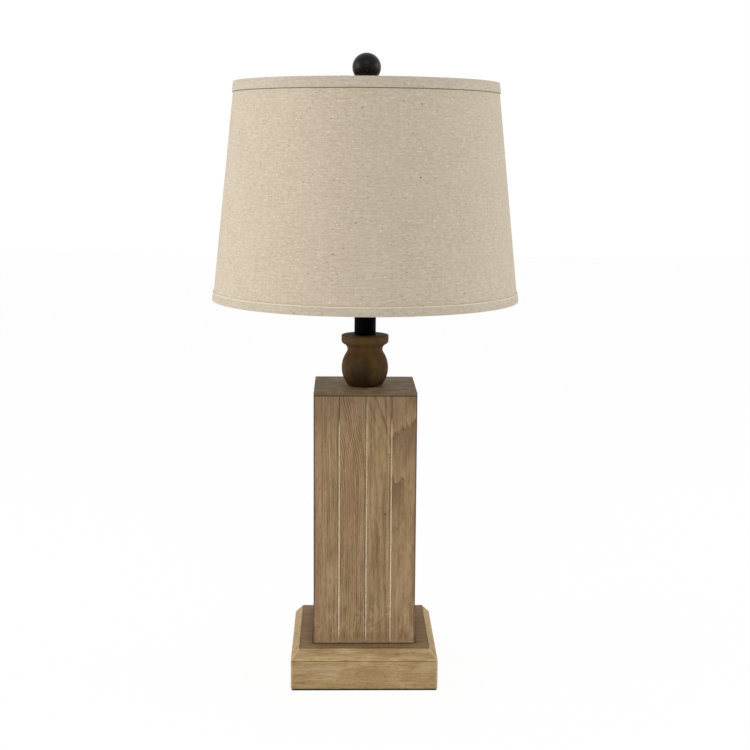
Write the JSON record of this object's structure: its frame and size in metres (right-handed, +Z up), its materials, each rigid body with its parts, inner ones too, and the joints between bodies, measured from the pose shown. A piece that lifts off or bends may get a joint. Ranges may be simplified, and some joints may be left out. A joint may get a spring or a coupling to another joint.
{
  "type": "table lamp",
  "caption": "Table lamp with a square column of wooden planks on a bevelled plinth, a turned neck and a tapered drum shade on a harp.",
  "frame": {"origin": "on the table under the middle of the square base", "axes": "+Z up through the column, -Y towards the viewer of the picture, +X to the viewer's right"},
  "size_m": [0.33, 0.33, 0.6762],
  "materials": {
    "wood": "limed brown wood, satin",
    "planks": "limed brown planks, satin",
    "neck_wood": "dark turned wood, satin",
    "panel": "plain unfinished panel",
    "felt": "black felt",
    "zinc": "zinc plated",
    "black_plastic": "black, satin",
    "black_metal": "black, satin",
    "brass": "plated brass",
    "nickel": "bright",
    "insulator": "black moulded",
    "bulb_glass": "frosted white",
    "linen": "oatmeal linen weave",
    "linen_trim": "folded strip of the same linen",
    "liner": "white styrene",
    "white_wire": "white enamel"
  },
  "bodies": {
    "base": {"felt_pad": "felt", "bottom_panel": "panel", "bottom_panel_screws": "zinc", "base_corner_blocks": "panel", "base_front_rail": "wood", "base_right_rail": "wood", "base_back_rail": "wood", "base_left_rail": "wood", "cord_bushing": "black_plastic", "base_plate": "wood", "column_bottom_block": "panel", "column_top_block": "panel", "column_cap": "wood", "turned_neck": "neck_wood", "lamp_pipe": "zinc", "pipe_washer": "zinc", "pipe_nut": "zinc", "neck_tube": "black_metal", "check_ring": "black_metal", "harp_saddle": "brass", "saddle_nut": "brass", "socket_cap": "brass", "socket_shell": "brass", "socket_core": "insulator", "screw_shell": "nickel", "centre_contact": "brass", "front_plank_1": "planks", "front_plank_2": "planks", "front_plank_3": "planks", "front_plank_4": "planks", "right_plank_1": "planks", "right_plank_2": "planks", "right_plank_3": "planks", "right_plank_4": "planks", "back_plank_1": "planks", "back_plank_2": "planks", "back_plank_3": "planks", "back_plank_4": "planks", "left_plank_1": "planks", "left_plank_2": "planks", "left_plank_3": "planks", "left_plank_4": "planks"},
    "harp": {"harp_wire": "brass", "harp_stud": "brass"},
    "left_sleeve": {"harp_sleeve_left": "brass"},
    "right_sleeve": {"harp_sleeve_right": "brass"},
    "knob": {"switch_knob": "black_plastic"},
    "bulb": {"bulb_glass": "bulb_glass", "bulb_cap": "nickel", "bulb_contact": "insulator"},
    "shade": {"shade_fabric": "linen", "shade_liner": "liner", "top_trim": "linen_trim", "bottom_trim": "linen_trim", "top_ring": "white_wire", "bottom_ring": "white_wire", "spider": "white_wire"},
    "finial_body": {"finial": "black_metal", "finial_insert": "brass"}
  },
  "joints": [
    {"name": "knob_turn", "type": "hinge", "parent": "base", "child": "knob", "pos_m": [0, -0.03, 0.45833], "axis": [0, -1, 0], "continuous": true},
    {"name": "bulb_turn", "type": "hinge", "parent": "base", "child": "bulb", "pos_m": [0, 0, 0.5], "axis": [0, 0, 1], "continuous": true},
    {"name": "harp_lift", "type": "slide", "parent": "base", "child": "harp", "axis": [0, 0, 1], "range_m": [0, 0.06]},
    {"name": "left_sleeve_slide", "type": "slide", "parent": "harp", "child": "left_sleeve", "axis": [0, 0, 1], "range_m": [0, 0.015]},
    {"name": "right_sleeve_slide", "type": "slide", "parent": "harp", "child": "right_sleeve", "axis": [0, 0, 1], "range_m": [0, 0.015]},
    {"name": "shade_turn", "type": "hinge", "parent": "harp", "child": "shade", "pos_m": [0, 0, 0.63], "axis": [0, 0, 1], "continuous": true},
    {"name": "finial_turn", "type": "hinge", "parent": "harp", "child": "finial_body", "pos_m": [0, 0, 0.65], "axis": [0, 0, 1], "continuous": true}
  ]
}
